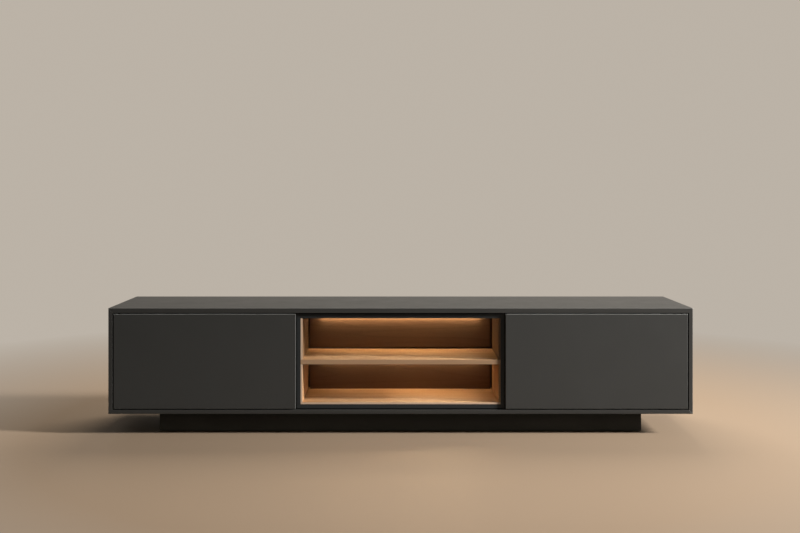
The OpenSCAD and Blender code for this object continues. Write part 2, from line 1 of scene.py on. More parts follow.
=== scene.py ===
"""Looks of the low TV cabinet: materials, small fittings, studio and camera.

Everything is in metres in the cabinet's own frame: the front faces -Y, +Z is up, and the
origin is the middle of the footprint on the floor. Outlines of fittings are in millimetres.
"""

import math

import bmesh
import bpy
from mathutils import Matrix, Vector


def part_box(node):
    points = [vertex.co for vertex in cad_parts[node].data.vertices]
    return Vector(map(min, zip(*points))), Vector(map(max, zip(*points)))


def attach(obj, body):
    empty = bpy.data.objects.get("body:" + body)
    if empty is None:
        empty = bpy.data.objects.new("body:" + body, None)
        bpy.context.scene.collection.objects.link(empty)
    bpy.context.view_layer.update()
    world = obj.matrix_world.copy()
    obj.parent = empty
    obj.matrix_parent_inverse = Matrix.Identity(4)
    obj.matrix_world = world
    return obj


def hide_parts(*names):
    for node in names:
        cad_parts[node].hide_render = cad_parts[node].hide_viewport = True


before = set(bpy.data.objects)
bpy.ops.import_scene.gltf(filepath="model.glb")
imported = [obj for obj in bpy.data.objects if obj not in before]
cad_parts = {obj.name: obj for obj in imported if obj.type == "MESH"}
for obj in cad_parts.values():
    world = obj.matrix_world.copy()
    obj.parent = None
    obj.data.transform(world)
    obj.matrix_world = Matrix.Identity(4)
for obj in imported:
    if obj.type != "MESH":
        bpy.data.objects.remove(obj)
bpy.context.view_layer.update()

MM = 0.001

# each CAD node's material slot is named by the plain material it comes with, which is then let go
slot_of = {name: solid.data.materials[0].name for name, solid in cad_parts.items()}
for plain in list(bpy.data.materials):
    bpy.data.materials.remove(plain)

# Node helpers
# most values of a noise field lie between these two
NOISE_LOW, NOISE_HIGH = 0.3, 0.7
# dot product of the true and the rounded normal where an edge begins to show, and where it shows fully
EDGE_BEGINS, EDGE_FULL = 0.995, 0.86
BEVEL_SAMPLES = 6
# product of a normal's y and z, which is 0.5 on a face at 45 degrees between front and top
SLOPE_BEGINS, SLOPE_FULL = 0.4, 0.48
# a normal's y, which is -1 on a front face
FRONT_BEGINS, FRONT_FULL = -0.75, -0.9


class Graph:
    """Short calls that add nodes to one node tree and link them."""

    def __init__(self, tree):
        self.tree = tree
        tree.nodes.clear()

    def node(self, kind, values=None, **settings):
        """Adds a node. Each of its values is a constant or the socket to link."""
        made = self.tree.nodes.new(kind)
        for key, value in settings.items():
            setattr(made, key, value)
        for key, value in (values or {}).items():
            socket = made.inputs[key]
            if isinstance(value, bpy.types.NodeSocket):
                self.tree.links.new(value, socket)
            else:
                socket.default_value = value
        return made

    def math(self, operation, *values, clamp=False):
        pairs = dict(enumerate(values))
        return self.node("ShaderNodeMath", pairs, operation=operation, use_clamp=clamp).outputs[0]

    def add(self, a, b, clamp=False):
        return self.math("ADD", a, b, clamp=clamp)

    def times(self, a, b):
        return self.math("MULTIPLY", a, b)

    def vector_math(self, operation, a, b, out=0):
        return self.node("ShaderNodeVectorMath", {0: a, 1: b}, operation=operation).outputs[out]

    def mix(self, factor, a, b):
        """One colour at factor 0, the other at 1."""
        return self.node("ShaderNodeMix", {0: factor, 6: a, 7: b}, data_type="RGBA").outputs[2]

    def remap(self, value, from_low, from_high, to_low, to_high):
        pairs = dict(enumerate((value, from_low, from_high, to_low, to_high)))
        return self.node("ShaderNodeMapRange", pairs).outputs[0]

    def vary(self, noise, low, high):
        """A noise field's values taken to a range."""
        return self.remap(noise, NOISE_LOW, NOISE_HIGH, low, high)

    def around(self, noise, centre, swing):
        """A noise field's values taken to an even swing around a centre."""
        return self.vary(noise, centre - swing, centre + swing)

    def ramp(self, value, stops, interpolation="LINEAR"):
        made = self.node("ShaderNodeValToRGB", {0: value})
        ramp = made.color_ramp
        ramp.interpolation = interpolation
        while len(ramp.elements) < len(stops):
            ramp.elements.new(0.5)
        for element, (place, shade) in zip(ramp.elements, stops):
            element.position = place
            element.color = (shade, shade, shade, 1)
        return made.outputs[0]

    def noise(self, vector, scale, detail, roughness, distortion=0.0):
        values = {"Vector": vector, "Scale": scale, "Detail": detail, "Roughness": roughness,
                  "Distortion": distortion}
        return self.node("ShaderNodeTexNoise", values).outputs[0]

    def place(self):
        return self.node("ShaderNodeTexCoord").outputs["Object"]

    def normal(self):
        return self.node("ShaderNodeNewGeometry").outputs["True Normal"]

    def xyz(self, vector):
        return self.node("ShaderNodeSeparateXYZ", {0: vector}).outputs

    def stretched(self, vector, scale):
        return self.node("ShaderNodeMapping", {"Vector": vector, "Scale": scale}).outputs[0]

    def edge(self, radius):
        """1 along a sharp edge, 0 on the flat, and the rounded normal."""
        rounded = self.node("ShaderNodeBevel", {"Radius": radius}, samples=BEVEL_SAMPLES).outputs[0]
        dot = self.vector_math("DOT_PRODUCT", rounded, self.normal(), out=1)
        return self.remap(dot, EDGE_BEGINS, EDGE_FULL, 0.0, 1.0), rounded

    def sloping(self):
        """1 on the narrow sloping faces between a front and its upper or lower edge."""
        parts = self.xyz(self.normal())
        both = self.times(self.math("ABSOLUTE", parts[1]), self.math("ABSOLUTE", parts[2]))
        return self.remap(both, SLOPE_BEGINS, SLOPE_FULL, 0.0, 1.0)

    def facing_front(self):
        """1 on faces that look to the front."""
        return self.remap(self.xyz(self.normal())[1], FRONT_BEGINS, FRONT_FULL, 0.0, 1.0)

    def bump(self, height, distance, normal=None):
        values = {"Height": height, "Distance": distance, "Strength": 1.0}
        if normal is not None:
            values["Normal"] = normal
        return self.node("ShaderNodeBump", values).outputs[0]

    def surface(self, values):
        shader = self.node("ShaderNodeBsdfPrincipled", values)
        self.node("ShaderNodeOutputMaterial", {"Surface": shader.outputs[0]})


def new_material(name):
    material = bpy.data.materials.new(name)
    material.use_nodes = True
    return material, Graph(material.node_tree)


def rgba(colour, factor=1.0):
    return tuple(c * factor for c in colour) + (1.0,)


def contrasted(g, factor, colour, contrast):
    """A colour between its darker and its lighter shade."""
    return g.mix(factor, rgba(colour, 1 - contrast), rgba(colour, 1 + contrast))


def edged(g, face, edge, share, colour):
    """A face that turns by some share into another colour along its edges."""
    return g.mix(g.times(edge, share), face, colour)


# Materials
PEEL_DEPTH = 0.00004
WORN_AND_HIGHLIGHT = 3.0  # how many times lighter the paint is along worn edges, partly real wear and partly painted highlight
FOOT_TOP, FOOT_BOTTOM = 0.35, 2.4  # painted shade of the foot: darker at its top under the overhang, lighter at the floor


def lacquer(name, colour, roughness, wear=0.35, shine=1.5, foot=None, rim=3.0):
    """Sprayed matt lacquer with orange peel, fine speckle, and edges lighter as wear and painted
    highlight.

    Rim is how many times lighter the narrow slopes above and below a front are: a painted highlight.
    A foot is the height below which the paint carries painted shade, darkest at its top under the
    overhang and lightening down to the floor.
    """
    material, g = new_material(name)
    at = g.place()
    clouds = g.noise(at, scale=3.5, detail=3, roughness=0.55)
    speckle = g.noise(at, scale=2600, detail=2, roughness=0.6)
    shade = g.add(g.around(clouds, 0.0, swing=0.035), g.around(speckle, 0.0, swing=0.07))
    paint = contrasted(g, g.add(shade, 0.5), colour, contrast=0.25)
    edge, rounded = g.edge(radius=1.3 * MM)
    # edges are lighter: partly real wear, partly a painted highlight along the arrises
    patches = g.noise(at, scale=160, detail=4, roughness=0.65)
    worn_edge_and_highlight = g.times(edge, g.remap(patches, 0.35, 0.65, 0.2, 1.0))
    # painted shade: a foot is darker under the overhang at its top and lighter toward the floor
    if foot:
        above_floor = g.add(g.xyz(at)[2], g.around(clouds, 0.0, swing=0.006))
        painted_shade_fade = g.remap(above_floor, 0.0, foot, 1.0, 0.0)
        paint = g.mix(painted_shade_fade, rgba(colour, FOOT_TOP), rgba(colour, FOOT_BOTTOM))
    paint = edged(g, paint, worn_edge_and_highlight, share=wear, colour=rgba(colour, WORN_AND_HIGHLIGHT))
    # painted highlight: the narrow slopes along a front's upper and lower edges are made lighter
    paint = edged(g, paint, g.sloping(), share=wear, colour=rgba(colour, rim))
    satin = g.noise(at, scale=9, detail=4, roughness=0.6)
    rough = g.add(g.around(satin, roughness, swing=0.035), g.times(worn_edge_and_highlight, -0.08))
    peel = g.noise(at, scale=620, detail=1, roughness=0.4)
    height = g.add(peel, g.times(speckle, 0.25))
    g.surface({"Base Color": paint, "Roughness": rough, "IOR": shine,
               "Normal": g.bump(height, PEEL_DEPTH, rounded)})
    return material


PLANK = 0.118  # width of one strip of timber
FIRST_PLANK = 0.35  # strips are counted from this far aside
PLANK_SHIFT = 7.0  # furthest that the pattern moves from one strip to the next
# place and darkness across one growth line, and place and strength for the pores' field
RING_STOPS = [(0.0, 0.15), (0.12, 0.0), (0.62, 0.28), (0.9, 1.0), (1.0, 0.15)]
PORE_STOPS = [(0.0, 1.0), (0.36, 1.0), (0.43, 0.0), (1.0, 0.0)]
# how much of the way from light to dark each pattern goes
RING_SHARE, STREAK_SHARE, FIBRE_SWING, STRIP_SWING = 0.34, 0.5, 0.1, 0.1
PORE_SHARE = 0.55  # how far a pore takes its own colour
LIPPING_SHADE = 0.82  # the lipping's dark lines
OILED_IOR = 1.45
PORE_DEPTH = 0.00007


def wood(name, along, tones, roughness=0.5, lines=15.0, seed=0.0, front_lit_band=None):
    """Oiled timber cut along x or z: strips, growth lines, fibres and open pores.

    Its tones are light, dark and pore. A front edge that differs is an edge band, lighter partly as
    painted light.
    """
    light, dark, pore = tones
    material, g = new_material(name)
    parts = g.xyz(g.place())
    order = {"x": (0, 1, 2), "z": (2, 1, 0)}[along]
    grain, across, depth = (parts[i] for i in order)
    strip = g.math("FLOOR", g.math("DIVIDE", g.add(across, FIRST_PLANK + seed * 0.01), PLANK))
    white = g.node("ShaderNodeTexWhiteNoise", {"W": g.add(strip, seed)}, noise_dimensions="1D")
    chance = white.outputs[0]
    shift = g.times(chance, PLANK_SHIFT)
    moved = {0: g.add(grain, shift), 1: g.add(across, shift), 2: depth}
    spot = g.node("ShaderNodeCombineXYZ", moved).outputs[0]

    def drawn_out(long, fine, detail, rough, distortion=0.0):
        """Noise that changes slowly along the grain and quickly across it."""
        return g.noise(g.stretched(spot, (long, fine, fine)), 1.0, detail, rough, distortion)

    # growth lines are the contours of a slow field
    field = drawn_out(long=0.42, fine=6.5, detail=2.5, rough=0.45, distortion=0.15)
    rings = g.ramp(g.math("FRACT", g.times(field, lines)), RING_STOPS, "EASE")
    fibres = drawn_out(long=7, fine=420, detail=3, rough=0.6)
    streaks = drawn_out(long=0.9, fine=34, detail=3, rough=0.55)
    pores = g.ramp(drawn_out(long=46, fine=1500, detail=2, rough=0.5), PORE_STOPS)
    pores = g.times(pores, g.remap(rings, 0.0, 1.0, 0.35, 1.0))
    tone = g.add(g.times(rings, RING_SHARE), g.remap(streaks, 0.28, 0.72, 0.0, STREAK_SHARE))
    tone = g.add(tone, g.around(fibres, 0.0, swing=FIBRE_SWING))
    tone = g.add(tone, g.remap(chance, 0, 1, -STRIP_SWING, STRIP_SWING), clamp=True)
    colour = g.mix(tone, rgba(light), rgba(dark))
    colour = g.mix(g.times(pores, PORE_SHARE), colour, rgba(pore))
    edge, rounded = g.edge(radius=1.0 * MM)
    # front faces take a lighter edge band: real lighter timber, made lighter still as painted light
    if front_lit_band:
        band = g.mix(tone, rgba(front_lit_band), rgba(front_lit_band, LIPPING_SHADE))
        colour = g.mix(g.facing_front(), colour, band)
    colour = edged(g, colour, edge, share=0.22, colour=rgba(light, 1.18))
    rough = g.remap(tone, 0, 1, roughness - 0.04, roughness + 0.04)
    height = g.add(g.times(pores, -1.0), g.times(fibres, 0.35))
    g.surface({"Base Color": colour, "Roughness": g.add(rough, g.times(pores, 0.15)),
               "IOR": OILED_IOR, "Normal": g.bump(height, PORE_DEPTH, rounded)})
    return material


def board(name, colour, roughness):
    """Melamine-faced board: a fine pressed texture and slightly lighter cut edges."""
    material, g = new_material(name)
    at = g.place()
    pressed = g.noise(at, scale=1400, detail=3, roughness=0.7)
    patches = g.noise(at, scale=5, detail=3, roughness=0.5)
    shade = g.add(g.around(pressed, 0.0, swing=0.16), g.around(patches, 0.0, swing=0.05))
    edge, rounded = g.edge(radius=0.6 * MM)
    face = contrasted(g, g.add(shade, 0.5), colour, contrast=0.3)
    face = edged(g, face, edge, share=0.3, colour=rgba(colour, 2.2))
    g.surface({"Base Color": face, "Roughness": g.around(pressed, roughness, swing=0.06),
               "Normal": g.bump(pressed, distance=0.00006, normal=rounded)})
    return material


BRIGHT_EDGE = (0.9, 0.89, 0.87)
DRAWN_LINES = (30, 2200, 2200)  # how often drawn lines change along x, y and z


def metal(name, colour, roughness, drawn=False, wear=0.3):
    """Bare metal with lines drawn along x or with a fine grain, brighter on its edges."""
    material, g = new_material(name)
    at = g.place()
    if drawn:
        lines = g.noise(g.stretched(at, DRAWN_LINES), scale=1.0, detail=3, roughness=0.65)
    else:
        lines = g.noise(at, scale=1800, detail=3, roughness=0.65)
    blotch = g.noise(at, scale=45, detail=3, roughness=0.6)
    edge, rounded = g.edge(radius=0.35 * MM)
    face = g.mix(g.vary(blotch, 0.0, 1.0), rgba(colour, 0.88), rgba(colour, 1.08))
    face = edged(g, face, edge, share=wear, colour=rgba(BRIGHT_EDGE))
    rough = g.add(g.around(lines, roughness, swing=0.07), g.around(blotch, 0.0, swing=0.04))
    g.surface({"Base Color": face, "Metallic": 1.0, "Roughness": rough,
               "Normal": g.bump(lines, distance=0.00001, normal=rounded)})
    return material


def plastic(name, colour, roughness, grain=1500):
    """Moulded plastic or rubber with an even eroded texture, lighter on its edges."""
    material, g = new_material(name)
    at = g.place()
    pits = g.noise(at, scale=grain, detail=3, roughness=0.65)
    flow = g.noise(at, scale=35, detail=3, roughness=0.55)
    edge, rounded = g.edge(radius=0.4 * MM)
    face = contrasted(g, g.vary(flow, 0.0, 1.0), colour, contrast=0.14)
    face = edged(g, face, edge, share=0.25, colour=rgba(colour, 1.9))
    g.surface({"Base Color": face, "Roughness": g.around(pits, roughness, swing=0.07),
               "Normal": g.bump(pits, distance=0.00003, normal=rounded)})
    return material


OPAL_DULL, OPAL_CLEAR = (0.78, 0.74, 0.68), (0.86, 0.82, 0.76)


def opal(name, glow, strength):
    """Lit opal diffuser: even warm light from a finely hazed strip."""
    material, g = new_material(name)
    haze = g.noise(g.place(), scale=900, detail=2, roughness=0.5)
    g.surface({"Base Color": g.mix(haze, rgba(OPAL_DULL), rgba(OPAL_CLEAR)),
               "Roughness": g.vary(haze, 0.42, 0.55),
               "Emission Color": rgba(glow), "Emission Strength": strength,
               "Normal": g.bump(haze, distance=0.00002)})
    return material


CHIP_PITCH = 8.33 * MM
CHIP_SHARE = 0.38  # length of a chip as a share of the pitch
CHIP_HALF = 1.6 * MM  # half the width of a chip
TAPE_MIDDLE = 52 * MM  # how far behind the cabinet's middle the tapes lie
TAPE_START = 2.0  # chips are counted from this far to the left
TAPE_GREY, TAPE_WHITE, CHIP_YELLOW = (0.74, 0.73, 0.7), (0.82, 0.81, 0.78), (0.82, 0.6, 0.12)


def led_tape(name):
    """Light strip: white tape with yellow chips at an even pitch."""
    material, g = new_material(name)
    at = g.place()
    parts = g.xyz(at)
    step = g.math("FRACT", g.math("DIVIDE", g.add(parts[0], TAPE_START), CHIP_PITCH))
    aside = g.math("ABSOLUTE", g.math("SUBTRACT", parts[1], TAPE_MIDDLE))
    chip = g.times(g.math("LESS_THAN", step, CHIP_SHARE), g.math("LESS_THAN", aside, CHIP_HALF))
    grain = g.noise(at, scale=1200, detail=2, roughness=0.5)
    tape = g.mix(g.vary(grain, 0, 1), rgba(TAPE_GREY), rgba(TAPE_WHITE))
    g.surface({"Base Color": g.mix(chip, tape, rgba(CHIP_YELLOW)),
               "Roughness": g.vary(grain, 0.35, 0.5), "Normal": g.bump(chip, distance=0.0002)})
    return material


GRAPHITE = (0.044, 0.0452, 0.0446)
DOOR_GRAPHITE = (0.051, 0.0535, 0.0535)
NICHE_BLACK = (0.027, 0.031, 0.034)
PLINTH_BLACK = (0.05, 0.048, 0.041)
BOARD_GREY = (0.11, 0.108, 0.104)
# light, dark and pore of each timber
OAK = (0.475, 0.283, 0.145), (0.322, 0.172, 0.076), (0.172, 0.095, 0.046)
# oak painted darker as the shade on the inner faces of the upper linings
PAINTED_SHADE_OAK = (0.165, 0.095, 0.046), (0.115, 0.06, 0.027), (0.066, 0.034, 0.016)
# oak painted darker for the niche's back panels, as the shade at the back of the niche
BACK_SHADE_OAK = (0.136, 0.078, 0.045), (0.097, 0.053, 0.029), (0.044, 0.025, 0.015)
BEECH = (0.66, 0.45, 0.28), (0.5, 0.31, 0.18), (0.32, 0.19, 0.1)
# front edge bands, lighter partly as real timber and partly as painted light from the front; the
# shelf's is milder
FRONT_LIT_BAND = (0.84, 0.62, 0.45)
SHELF_FRONT_LIT_BAND = (0.49, 0.31, 0.185)
ALUMINIUM = (0.74, 0.75, 0.76)
STEEL = (0.56, 0.57, 0.58)
BLACK_STEEL = (0.035, 0.035, 0.037)
PLUNGER_GREY = (0.28, 0.29, 0.3)
DARK_GREY = (0.06, 0.06, 0.06)
CASE_BLACK = (0.022, 0.022, 0.023)
GLOW = (1.0, 0.715, 0.41)
TOP_GLOW, SHELF_GLOW = 35.0, 19.0

# each finish is named as the material slot it fills, but for the oak's, which is for upright boards
finishes = {finish.name: finish for finish in (
    lacquer("graphite_lacquer", GRAPHITE, 0.44, wear=0.8, shine=1.44),
    lacquer("niche_lacquer", NICHE_BLACK, 0.5, shine=1.36),
    # the plinth carries painted shade, darker under the overhang and lighter toward the floor
    lacquer("plinth_lacquer", PLINTH_BLACK, 0.62, shine=1.3, foot=0.08),
    # the back panels' oak is painted darker as the shade at the niche's back
    wood("smoked_oak", "x", BACK_SHADE_OAK, seed=3.0),
    board("dark_board", BOARD_GREY, 0.55),
    wood("beech", "z", BEECH, roughness=0.6, lines=9, seed=6.0),
    metal("profile_aluminium", ALUMINIUM, 0.34, drawn=True),
    led_tape("led_strip"),
    opal("opal_diffuser", GLOW, TOP_GLOW),
    metal("steel", STEEL, 0.3),
    metal("black_steel", BLACK_STEEL, 0.42, wear=0.12),
    plastic("plunger_plastic", PLUNGER_GREY, 0.42),
    plastic("bush_plastic", DARK_GREY, 0.4),
    plastic("bumper_rubber", DARK_GREY, 0.6, grain=900),
    plastic("black_plastic", CASE_BLACK, 0.45),
)}
finishes["oak"] = wood("oak_upright", "z", OAK, seed=11.0, front_lit_band=FRONT_LIT_BAND)

# nodes with a finish of their own
# the doors' lacquer is a little lighter than the carcass's and has a stronger painted highlight on its
# edge slopes
door_lacquer = lacquer("door_lacquer", DOOR_GRAPHITE, 0.44, wear=0.8, shine=1.44, rim=6.0)
own = {
    "left_door_panel": door_lacquer,
    "right_door_panel": door_lacquer,
    "led_diffuser_shelf": opal("opal_diffuser_low", GLOW, SHELF_GLOW),
    # the upper linings take the oak painted darker as their shade
    "oak_lining_left_upper": wood("oak_shaded", "z", PAINTED_SHADE_OAK, seed=17.0, front_lit_band=FRONT_LIT_BAND),
    # the right linings lack the lighter edge band, so their front edges stay dark as painted shade
    "oak_lining_right_upper": wood("oak_painted_shade_right", "z", PAINTED_SHADE_OAK, seed=29.0),
    "oak_lining_right_lower": wood("oak_front_painted_shade", "z", OAK, seed=23.0),
    "oak_floor": wood("oak_floor", "x", OAK, seed=5.0, front_lit_band=FRONT_LIT_BAND),
    "oak_shelf": wood("oak_shelf", "x", OAK, front_lit_band=SHELF_FRONT_LIT_BAND),
}
for name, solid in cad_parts.items():
    for slot in solid.material_slots:
        slot.material = own.get(name, finishes[slot_of[name]])

# Fittings
ROUND = 2.0  # the power of a ring that is a circle or an ellipse
MICRONS_IN_METRE, MICRON = 1e6, 1e-6
SHARP_ANGLE = math.radians(34)


def solids(node):
    """Lowest and highest corner of each separate solid of a CAD node, sorted by x, y, z."""
    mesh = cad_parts[node].data
    spots = [tuple(round(c * MICRONS_IN_METRE) for c in v.co) for v in mesh.vertices]
    leader = {}

    def first_of(spot):
        while leader.setdefault(spot, spot) != spot:
            spot = leader[spot]
        return spot

    for face in mesh.polygons:
        first = first_of(spots[face.vertices[0]])
        for index in face.vertices[1:]:
            leader[first_of(spots[index])] = first
    groups = {}
    for spot in sorted(set(spots)):
        groups.setdefault(first_of(spot), []).append(spot)
    boxes = []
    for group in groups.values():
        low, high = (Vector([end(c) for c in zip(*group)]) * MICRON for end in (min, max))
        boxes.append((low, high))
    return sorted(boxes, key=lambda box: tuple(round(c, 4) for c in box[0]))


def in_mm(low, high):
    """A box's size along x, y and z, in millimetres."""
    return [(b - a) / MM for a, b in zip(low, high)]


def middle(low, high, **fixed):
    """The middle of a box, with any coordinate set to a fixed value."""
    return tuple(fixed.get(axis, (a + b) / 2) for axis, a, b in zip("xyz", low, high))


def facing(axis, spot):
    """Lays a shape that was made round Z along another axis, with its origin at the spot."""
    turn = Vector(axis).to_track_quat("Z", "Y").to_matrix().to_4x4()
    return Matrix.Translation(spot) @ turn


def ring(shape, width, height, at, steps, power=ROUND):
    """A loop of points in millimetres: an ellipse at power 2, nearer to a rectangle above that."""
    if width == 0:
        return [shape.verts.new((0, 0, at * MM))]
    made = []
    for i in range(steps):
        across, up = math.cos(math.tau * i / steps), math.sin(math.tau * i / steps)
        x = width * MM * math.copysign(abs(across) ** (2 / power), across)
        y = height * MM * math.copysign(abs(up) ** (2 / power), up)
        made.append(shape.verts.new((x, y, at * MM)))
    return made


def join(shape, low, high):
    """Faces between two loops, of which one may be a single point."""
    steps = max(len(low), len(high))
    for i in range(steps):
        j = (i + 1) % steps
        around = [low[i % len(low)], low[j % len(low)], high[j % len(high)], high[i % len(high)]]
        shape.faces.new(list(dict.fromkeys(around)))


def lofted(sections, steps=32, closed=False):
    """A shape through (width, height, at, power) sections."""
    shape = bmesh.new()
    rings = [ring(shape, width, height, at, steps, power) for width, height, at, power in sections]
    for low, high in zip(rings, rings[1:]):
        join(shape, low, high)
    if closed:
        join(shape, rings[-1], rings[0])
    return shape


def turned(outline, steps=32, closed=False):
    """A turned shape from (radius, at) pairs, from its low end to its high end."""
    return lofted([(radius, radius, at, ROUND) for radius, at in outline], steps, closed)


CROSS_CORNERS = 12
HEAD_STEPS = 2 * CROSS_CORNERS  # two points of the rim to each corner of the cross
CROSS_WIDTH = 0.3  # half the width of an arm, as a share of its length
CROSS_TAPER = 0.72  # size of the cross at its bottom


def screw(outline, rim_radius, top, arm, deep):
    """A turned screw or plate that ends in a cross recess."""
    shape = turned(outline, steps=HEAD_STEPS)
    shape.verts.ensure_lookup_table()
    last = shape.verts[-HEAD_STEPS:]
    rim = ring(shape, rim_radius, rim_radius, top, HEAD_STEPS)
    join(shape, last, rim)
    half = arm * CROSS_WIDTH
    cross = [(arm, -half), (arm, half), (half, half), (half, arm), (-half, arm), (-half, half),
             (-arm, half), (-arm, -half), (-half, -half), (-half, -arm), (half, -arm), (half, -half)]
    low = (top - deep) * MM
    upper = [shape.verts.new((x * MM, y * MM, top * MM)) for x, y in cross]
    lower = [shape.verts.new((x * CROSS_TAPER * MM, y * CROSS_TAPER * MM, low)) for x, y in cross]
    for i in range(CROSS_CORNERS):
        j = (i + 1) % CROSS_CORNERS
        shape.faces.new([rim[2 * i - 1], rim[2 * i], rim[2 * i + 1], upper[j], upper[i]])
    join(shape, upper, lower)
    shape.faces.new(lower)
    return shape


def eased_block(low, high, radius):
    """A block with rounded edges."""
    shape = bmesh.new()
    bmesh.ops.create_cube(shape, size=1.0)
    size, centre = Vector(high) - Vector(low), (Vector(high) + Vector(low)) / 2
    shape.transform(Matrix.Translation(centre) @ Matrix.Diagonal(size.to_4d()))
    bmesh.ops.bevel(shape, geom=shape.edges[:], offset=radius, segments=3, profile=0.5, affect="EDGES")
    return shape


def piece(name, body, slot, nodes, parts):
    """One object from (shape, matrix) parts that stands for its CAD nodes and rides on a body."""
    whole = bmesh.new()
    for shape, matrix in parts:
        before = len(whole.verts)
        copy = bpy.data.meshes.new("part")
        shape.to_mesh(copy)
        whole.from_mesh(copy)
        bpy.data.meshes.remove(copy)
        whole.verts.ensure_lookup_table()
        bmesh.ops.transform(whole, matrix=matrix, verts=whole.verts[before:])
    bmesh.ops.recalc_face_normals(whole, faces=whole.faces[:])
    mesh = bpy.data.meshes.new(name)
    whole.to_mesh(mesh)
    whole.free()
    mesh.shade_smooth()
    mesh.set_sharp_from_angle(angle=SHARP_ANGLE)
    mesh.materials.append(finishes[slot])
    made = bpy.data.objects.new(name, mesh)
    bpy.context.scene.collection.objects.link(made)
    if nodes:
        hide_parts(*nodes)
    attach(made, body)


# radius and length of a screw's point, full radius, and the length at which that is reached
SLIM_SHANK = (1.1, 2.6, 1.74, 4.5)
STOUT_SHANK = (1.6, 4.0, 2.48, 7.0)


def shank(tip, sizes, neck):
    """The outline of a screw from its tip up to the neck under its head."""
    point_radius, point, radius, taper = sizes
    return [(0, tip), (point_radius, point + tip), (radius, taper + tip), (radius, neck)]


def make_back_screws():
    """Countersunk screws, flush with the back boards."""
    parts = []
    for low, high in solids("back_screws"):
        wide, long, _ = in_mm(low, high)
        head = wide / 2
        outline = shank(-long, SLIM_SHANK, -1.62) + [(head - 0.14, -0.16), (head, -0.05)]
        shape = screw(outline, rim_radius=head - 0.3, top=0.0, arm=head * 0.5, deep=1.3)
        parts.append((shape, facing((0, 1, 0), middle(low, high, y=high.y))))
    piece("back_screw_set", "carcass", "steel", ["back_screws"], parts)


def make_niche_screws():
    """Pan-head screws from the cupboards through the partitions into the niche box."""
    parts = []
    for low, high in solids("niche_screws"):
        long, _, wide = in_mm(low, high)
        head, tall = wide / 2, 2.0
        outline = shank(tall - long, SLIM_SHANK, 0.0) + [
            (head - 0.25, 0.0), (head, 0.35), (head - 0.1, 1.05), (head - 0.75, 1.72)]
        shape = screw(outline, rim_radius=head - 1.15, top=tall, arm=head * 0.46, deep=1.2)
        out = math.copysign(1, low.x)
        end = high.x if out > 0 else low.x
        parts.append((shape, facing((out, 0, 0), middle(low, high, x=end - out * tall * MM))))
    piece("niche_screw_set", "carcass", "steel", ["niche_screws"], parts)


def make_plinth_screws():
    """Pan-head screws that go up through the plinth blocks, with their heads in counterbores."""
    parts = []
    for low, high in solids("plinth_screws"):
        wide, _, long = in_mm(low, high)
        head, tall = wide / 2, 3.0
        outline = shank(tall - long, STOUT_SHANK, 0.0) + [
            (head - 0.3, 0.0), (head, 0.5), (head - 0.15, 1.6), (head - 1.1, 2.6)]
        shape = screw(outline, rim_radius=head - 1.7, top=tall, arm=head * 0.45, deep=1.8)
        parts.append((shape, facing((0, 0, -1), middle(low, high, z=low.z + tall * MM))))
    piece("plinth_screw_set", "carcass", "steel", ["plinth_screws"], parts)


def make_shelf_pins():
    """Shelf pins with a thin collar in the gap beside the shelf."""
    inner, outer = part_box("right_partition")[1].x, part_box("right_side_panel")[0].x
    parts = []
    for low, high in solids("shelf_pins"):
        long, _, wide = in_mm(low, high)
        radius, side = wide / 2, math.copysign(1, low.x)
        near, far = sorted((abs(low.x), abs(high.x)))
        # start is the pin's end in the board, into its way to the shelf, face the board's surface
        if near < inner:
            start, into, face = side * near, side, (inner - near) / MM
        else:
            start, into, face = side * far, -side, (far - outer) / MM
        collar, thick, ease = radius + 1.5, 0.85, 0.2
        outline = [(0, 0), (radius - 0.5, 0), (radius, 0.6), (radius, face),
                   (collar - ease, face), (collar, face + ease),
                   (collar, face + thick - ease), (collar - ease, face + thick),
                   (radius, face + thick), (radius, long - 0.9), (radius - 0.3, long - 0.3),
                   (radius - 0.9, long), (0, long)]
        shape = turned(outline, steps=24)
        parts.append((shape, facing((into, 0, 0), middle(low, high, x=start))))
    piece("shelf_pin_set", "carcass", "steel", ["shelf_pins"], parts)


LOW_PIVOT = 0.25  # a pivot below this height is a door's lower one


def make_pivot_pins(side):
    """A door's two pivot pins, each with a flange between door and frame."""
    parts = []
    pin, under, over = 3, 10, 12.7  # the pin's radius, and where the flange's two faces are
    for low, high in solids(side + "_pivot_pins"):
        wide, _, long = in_mm(low, high)
        flange, ease = wide / 2, 0.4
        outline = [(0, 0), (2.4, 0), (pin, 0.6), (pin, under),
                   (flange - ease, under), (flange, under + ease),
                   (flange, over - ease), (flange - ease, over),
                   (pin, over), (pin, long - 0.9), (2.2, long), (0, long)]
        lower = low.z < LOW_PIVOT
        axis, end = ((0, 0, 1), low.z) if lower else ((0, 0, -1), high.z)
        parts.append((turned(outline), facing(axis, middle(low, high, z=end))))
    piece(side + "_pivot_pin_pair", "carcass", "black_steel", [side + "_pivot_pins"], parts)


LATCH_BORE = 4.3  # radius of the hole in which a plunger slides


